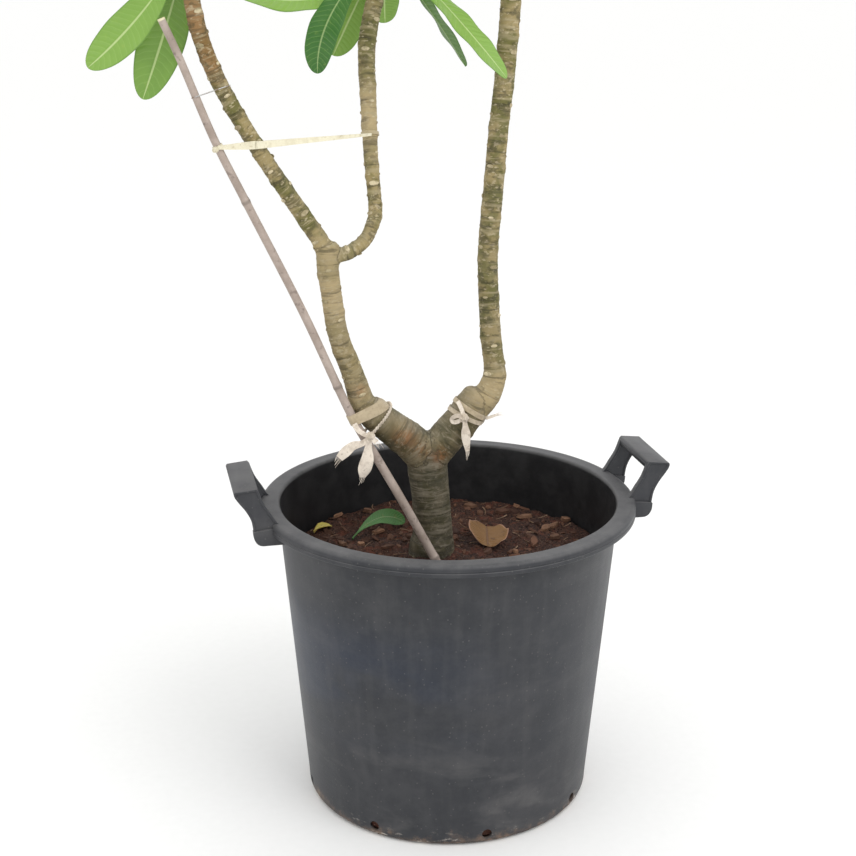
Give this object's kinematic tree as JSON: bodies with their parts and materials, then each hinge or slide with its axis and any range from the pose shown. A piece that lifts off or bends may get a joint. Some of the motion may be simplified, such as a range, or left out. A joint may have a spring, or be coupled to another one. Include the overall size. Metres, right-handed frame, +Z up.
{
  "type": "potted plumeria",
  "caption": "Young frangipani tree with a forked trunk and leafy stem tips, staked with a cane, in a tapered nursery pot with grab handles.",
  "frame": {"origin": "centre of the pot's flat underside", "axes": "+Z up along the pot's axis, X through the two handles, the picture looks roughly along +Y"},
  "size_m": [0.7052, 0.4869, 1.287],
  "materials": {
    "pot_plastic": "dusty matt charcoal",
    "soil_earth": "damp dark red-brown soil with bark chips",
    "bark": "grey-olive bark with pale leaf scars",
    "leaf_green": "waxy mid green with pale midrib",
    "leaf_brown": "dry and curled",
    "leaf_yellow": "withered yellow",
    "bamboo": "weathered grey-beige cane",
    "tie_cloth": "off-white cloth strip",
    "tie_wire": "thin soft wire"
  },
  "bodies": {
    "root": {"pot": "pot_plastic", "soil": "soil_earth", "trunk": "bark", "leaves_left": "leaf_green", "leaves_middle": "leaf_green", "leaves_right": "leaf_green", "cane": "bamboo", "tie_left": "tie_cloth", "tie_right": "tie_cloth", "tie_band": "tie_cloth", "tie_wire": "tie_wire", "fallen_leaf_green": "leaf_green", "fallen_leaf_brown": "leaf_brown", "fallen_leaf_yellow": "leaf_yellow"}
  },
  "joints": []
}
